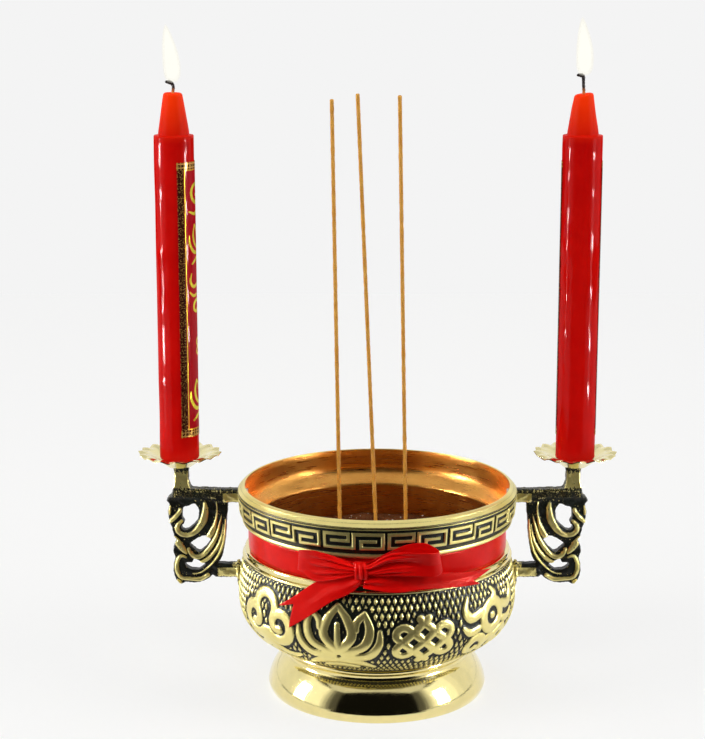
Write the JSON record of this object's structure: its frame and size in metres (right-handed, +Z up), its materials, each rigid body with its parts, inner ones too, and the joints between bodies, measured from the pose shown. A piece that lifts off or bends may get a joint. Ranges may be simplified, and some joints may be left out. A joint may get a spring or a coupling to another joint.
{
  "type": "incense burner",
  "caption": "Brass altar bowl on a foot ring with two scrolled handles that carry drip pans and lit candles, incense sticks standing in its ash and a ribbon tied round its neck.",
  "frame": {"origin": "centre of the foot's underside, on the table", "axes": "+Z up, +X towards the right-hand handle, -Y towards the side with the bow"},
  "size_m": [0.257, 0.1525, 0.3628],
  "materials": {
    "antique_brass": "cast relief with a dark patina in the recesses and satin-polished high spots",
    "polished_brass": "mirror polished",
    "pan_brass": "thin bright sheet",
    "screw_steel": "plain zinc-plated steel",
    "red_wax": "deep red glossy wax",
    "charred_wick": "charred cotton",
    "gilt_label": "red paper printed with a gold border and cloud figures",
    "flame_glow": "glowing flame",
    "grey_ash": "fine loose ash with pale specks",
    "incense_paste": "rough brown incense paste",
    "bamboo": "split bamboo",
    "red_satin": "red satin ribbon"
  },
  "bodies": {
    "root": {"bowl": "antique_brass", "foot_ring": "polished_brass", "foot_screw": "screw_steel", "foot_washer": "screw_steel", "foot_nut": "screw_steel", "handle_left": "antique_brass", "handle_right": "antique_brass", "handle_screws_left": "screw_steel", "handle_screws_right": "screw_steel", "drip_pan_left": "pan_brass", "drip_pan_right": "pan_brass", "pricket_left": "pan_brass", "pricket_right": "pan_brass", "ash_bed": "grey_ash", "ribbon_band": "red_satin", "ribbon_bow": "red_satin"},
    "left_candle": {"candle_left": "red_wax", "wick_left": "charred_wick", "candle_label_left": "gilt_label", "flame_left": "flame_glow"},
    "right_candle": {"candle_right": "red_wax", "wick_right": "charred_wick", "candle_label_right": "gilt_label", "flame_right": "flame_glow"},
    "left_stick": {"incense_left": "incense_paste", "bamboo_left": "bamboo"},
    "middle_stick": {"incense_middle": "incense_paste", "bamboo_middle": "bamboo"},
    "right_stick": {"incense_right": "incense_paste", "bamboo_right": "bamboo"}
  },
  "joints": [
    {"name": "left_candle_lift", "type": "slide", "parent": "root", "child": "left_candle", "axis": [0, 0, 1], "range_m": [0, 0.03]},
    {"name": "right_candle_lift", "type": "slide", "parent": "root", "child": "right_candle", "axis": [0, 0, 1], "range_m": [0, 0.03]},
    {"name": "left_stick_pull", "type": "slide", "parent": "root", "child": "left_stick", "axis": [-0.0171, 0, 0.9999], "range_m": [0, 0.05]},
    {"name": "middle_stick_pull", "type": "slide", "parent": "root", "child": "middle_stick", "axis": [-0.0431, 0, 0.9991], "range_m": [0, 0.05]},
    {"name": "right_stick_pull", "type": "slide", "parent": "root", "child": "right_stick", "axis": [-0.019, 0, 0.9998], "range_m": [0, 0.05]}
  ]
}
